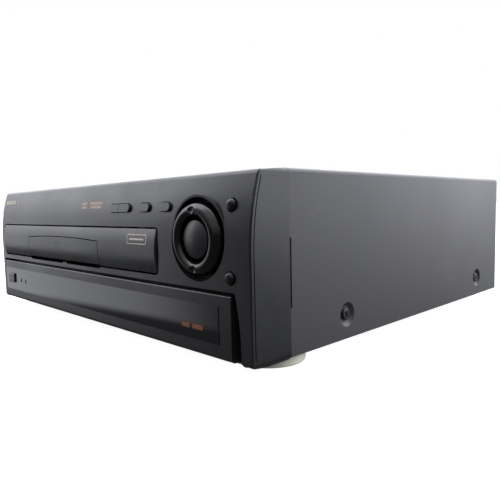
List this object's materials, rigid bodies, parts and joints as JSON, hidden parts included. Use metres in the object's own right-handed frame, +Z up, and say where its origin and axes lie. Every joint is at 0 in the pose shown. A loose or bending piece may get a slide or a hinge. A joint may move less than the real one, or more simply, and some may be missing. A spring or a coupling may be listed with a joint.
{
  "type": "laserdisc player",
  "caption": "Front-loading laserdisc player with a CD tray nested in its wide disc tray, rocking dial, keys, smoked display window and steel cover on round feet.",
  "frame": {"origin": "middle of the outline, on the surface the feet stand on", "axes": "+X to the right seen from the front, +Y to the rear, +Z up"},
  "size_m": [0.42, 0.4004, 0.1315],
  "materials": {
    "front_plastic": "fine satin charcoal moulding",
    "panel_plastic": "satin charcoal",
    "smoked_window": "smoked glossy acrylic",
    "mark_plastic": "pale insert",
    "door_plastic": "satin charcoal",
    "dial_plastic": "semi-gloss charcoal",
    "key_plastic": "satin charcoal",
    "display_glass": "dark display glass",
    "board": "brown circuit board",
    "black_plastic": "moulded",
    "capacitor_sleeve": "shrunk sleeve",
    "cover_paint": "fine textured grey paint",
    "zinc_sheet": "zinc-plated sheet",
    "rear_paint": "grey paint",
    "foot_plastic": "cream moulding",
    "pad_rubber": "felted rubber",
    "screw_steel": "black plated steel",
    "tray_plastic": "moulded",
    "gear_plastic": "natural acetal",
    "belt_rubber": "matte",
    "motor_steel": "plated can",
    "rod_steel": "ground steel",
    "carriage_metal": "die-cast",
    "lens_glass": "coated lens",
    "jack_plastic": "moulded jack bodies",
    "sink_aluminium": "extruded",
    "core_steel": "varnished laminations",
    "coil_tape": "yellow tape over the winding"
  },
  "bodies": {
    "cabinet": {"front_bezel": "front_plastic", "display_panel": "panel_plastic", "display_window": "smoked_window", "indicator_marks": "mark_plastic", "display_tube": "display_glass", "display_board": "board", "key_board": "board", "main_board": "board", "power_board": "board", "jack_board": "board", "power_switch": "black_plastic", "key_switches": "black_plastic", "chips": "black_plastic", "capacitors": "capacitor_sleeve", "top_cover": "cover_paint", "base_pan": "zinc_sheet", "rear_panel": "rear_paint", "feet": "foot_plastic", "foot_pads": "pad_rubber", "cover_screws": "screw_steel", "tray_guide_left": "black_plastic", "tray_guide_right": "black_plastic", "drive_belt": "belt_rubber", "loading_motor": "motor_steel", "loader_bracket": "zinc_sheet", "lift_posts": "rod_steel", "clamp_bridge": "zinc_sheet", "phono_jacks": "jack_plastic", "signal_sockets": "black_plastic", "mains_inlet": "black_plastic", "heat_sink": "sink_aluminium", "transformer_core": "core_steel", "transformer_coil": "coil_tape"},
    "ld_tray": {"ld_tray": "tray_plastic", "ld_tray_door": "door_plastic"},
    "cd_tray": {"cd_tray": "tray_plastic", "cd_tray_door": "door_plastic"},
    "drive_gear": {"drive_gear": "gear_plastic"},
    "pulley_gear": {"pulley_gear": "gear_plastic"},
    "motor_pulley": {"motor_pulley": "gear_plastic"},
    "mechanism": {"mechanism_plate": "zinc_sheet", "guide_rods": "rod_steel", "spindle_motor": "motor_steel", "sled_motor": "motor_steel"},
    "turntable": {"turntable": "black_plastic"},
    "sled": {"pickup_carriage": "carriage_metal", "pickup_lens": "lens_glass"},
    "sled_pinion": {"sled_pinion": "gear_plastic"},
    "lift_slide": {"lift_slide": "gear_plastic"},
    "clamp_plate": {"clamp_plate": "zinc_sheet"},
    "clamper": {"clamper": "black_plastic"},
    "dial_ring": {"dial_ring": "dial_plastic"},
    "centre_button": {"centre_button": "dial_plastic"},
    "power_button": {"power_button": "key_plastic"},
    "double_key_left": {"double_key_left": "key_plastic"},
    "double_key_right": {"double_key_right": "key_plastic"},
    "single_key_left": {"single_key_left": "key_plastic"},
    "single_key_right": {"single_key_right": "key_plastic"},
    "small_key_upper": {"small_key_upper": "key_plastic"},
    "small_key_lower": {"small_key_lower": "key_plastic"}
  },
  "joints": [
    {"name": "ld_tray_slide", "type": "slide", "parent": "cabinet", "child": "ld_tray", "axis": [0, -1, 0], "range_m": [0, 0.3]},
    {"name": "cd_tray_slide", "type": "slide", "parent": "ld_tray", "child": "cd_tray", "axis": [0, -1, 0], "range_m": [0, 0.215]},
    {"name": "drive_gear_turn", "type": "hinge", "parent": "cabinet", "child": "drive_gear", "pos_m": [0.074, -0.1361, 0.009], "axis": [0, 0, 1], "continuous": true},
    {"name": "pulley_gear_turn", "type": "hinge", "parent": "cabinet", "child": "pulley_gear", "pos_m": [0.06701, -0.11002, 0.009], "axis": [0, 0, 1], "continuous": true},
    {"name": "motor_pulley_turn", "type": "hinge", "parent": "cabinet", "child": "motor_pulley", "pos_m": [0.062, -0.0541, 0.009], "axis": [0, 0, 1], "continuous": true},
    {"name": "mechanism_lift", "type": "slide", "parent": "cabinet", "child": "mechanism", "axis": [0, 0, 1], "range_m": [0, 0.0127]},
    {"name": "turntable_spin", "type": "hinge", "parent": "mechanism", "child": "turntable", "pos_m": [-0.0445, -0.0311, 0.009], "axis": [0, 0, 1], "continuous": true},
    {"name": "sled_slide", "type": "slide", "parent": "mechanism", "child": "sled", "axis": [0, 1, 0], "range_m": [0, 0.117]},
    {"name": "sled_pinion_turn", "type": "hinge", "parent": "mechanism", "child": "sled_pinion", "pos_m": [-0.0004, 0.0369, 0.009], "axis": [0, 0, 1], "continuous": true},
    {"name": "lift_slide_slide", "type": "slide", "parent": "cabinet", "child": "lift_slide", "axis": [0, 1, 0], "range_m": [0, 0.0254]},
    {"name": "clamp_plate_drop", "type": "slide", "parent": "cabinet", "child": "clamp_plate", "axis": [0, 0, -1], "range_m": [0, 0.004]},
    {"name": "clamper_spin", "type": "hinge", "parent": "clamp_plate", "child": "clamper", "pos_m": [-0.0445, -0.0311, 0.009], "axis": [0, 0, 1], "continuous": true},
    {"name": "dial_ring_rock", "type": "hinge", "parent": "cabinet", "child": "dial_ring", "pos_m": [0.1594, -0.1901, 0.0866], "axis": [1, 0, 0], "range_deg": [-3, 3], "stiffness_Nm_per_rad": 0.15},
    {"name": "centre_button_press", "type": "slide", "parent": "cabinet", "child": "centre_button", "axis": [0, 1, 0], "range_m": [0, 0.0008], "stiffness_N_per_m": 500},
    {"name": "power_button_press", "type": "slide", "parent": "cabinet", "child": "power_button", "axis": [0, 1, 0], "range_m": [0, 0.0008], "stiffness_N_per_m": 500},
    {"name": "double_key_left_press", "type": "slide", "parent": "cabinet", "child": "double_key_left", "axis": [0, 1, 0], "range_m": [0, 0.0008], "stiffness_N_per_m": 500},
    {"name": "double_key_right_press", "type": "slide", "parent": "cabinet", "child": "double_key_right", "axis": [0, 1, 0], "range_m": [0, 0.0008], "stiffness_N_per_m": 500},
    {"name": "single_key_left_press", "type": "slide", "parent": "cabinet", "child": "single_key_left", "axis": [0, 1, 0], "range_m": [0, 0.0008], "stiffness_N_per_m": 500},
    {"name": "single_key_right_press", "type": "slide", "parent": "cabinet", "child": "single_key_right", "axis": [0, 1, 0], "range_m": [0, 0.0008], "stiffness_N_per_m": 500},
    {"name": "small_key_upper_press", "type": "slide", "parent": "cabinet", "child": "small_key_upper", "axis": [0, 1, 0], "range_m": [0, 0.0008], "stiffness_N_per_m": 500},
    {"name": "small_key_lower_press", "type": "slide", "parent": "cabinet", "child": "small_key_lower", "axis": [0, 1, 0], "range_m": [0, 0.0008], "stiffness_N_per_m": 500}
  ],
  "couplings": [
    {"joint": "drive_gear_turn", "follows": "ld_tray_slide", "rad_per_m": -55.556},
    {"joint": "pulley_gear_turn", "follows": "ld_tray_slide", "rad_per_m": 111.11},
    {"joint": "motor_pulley_turn", "follows": "ld_tray_slide", "rad_per_m": 427.02},
    {"joint": "sled_pinion_turn", "follows": "sled_slide", "rad_per_m": -166.67},
    {"joint": "lift_slide_slide", "follows": "mechanism_lift", "ratio": 2},
    {"joint": "clamp_plate_drop", "follows": "mechanism_lift", "ratio": 0.31496}
  ]
}
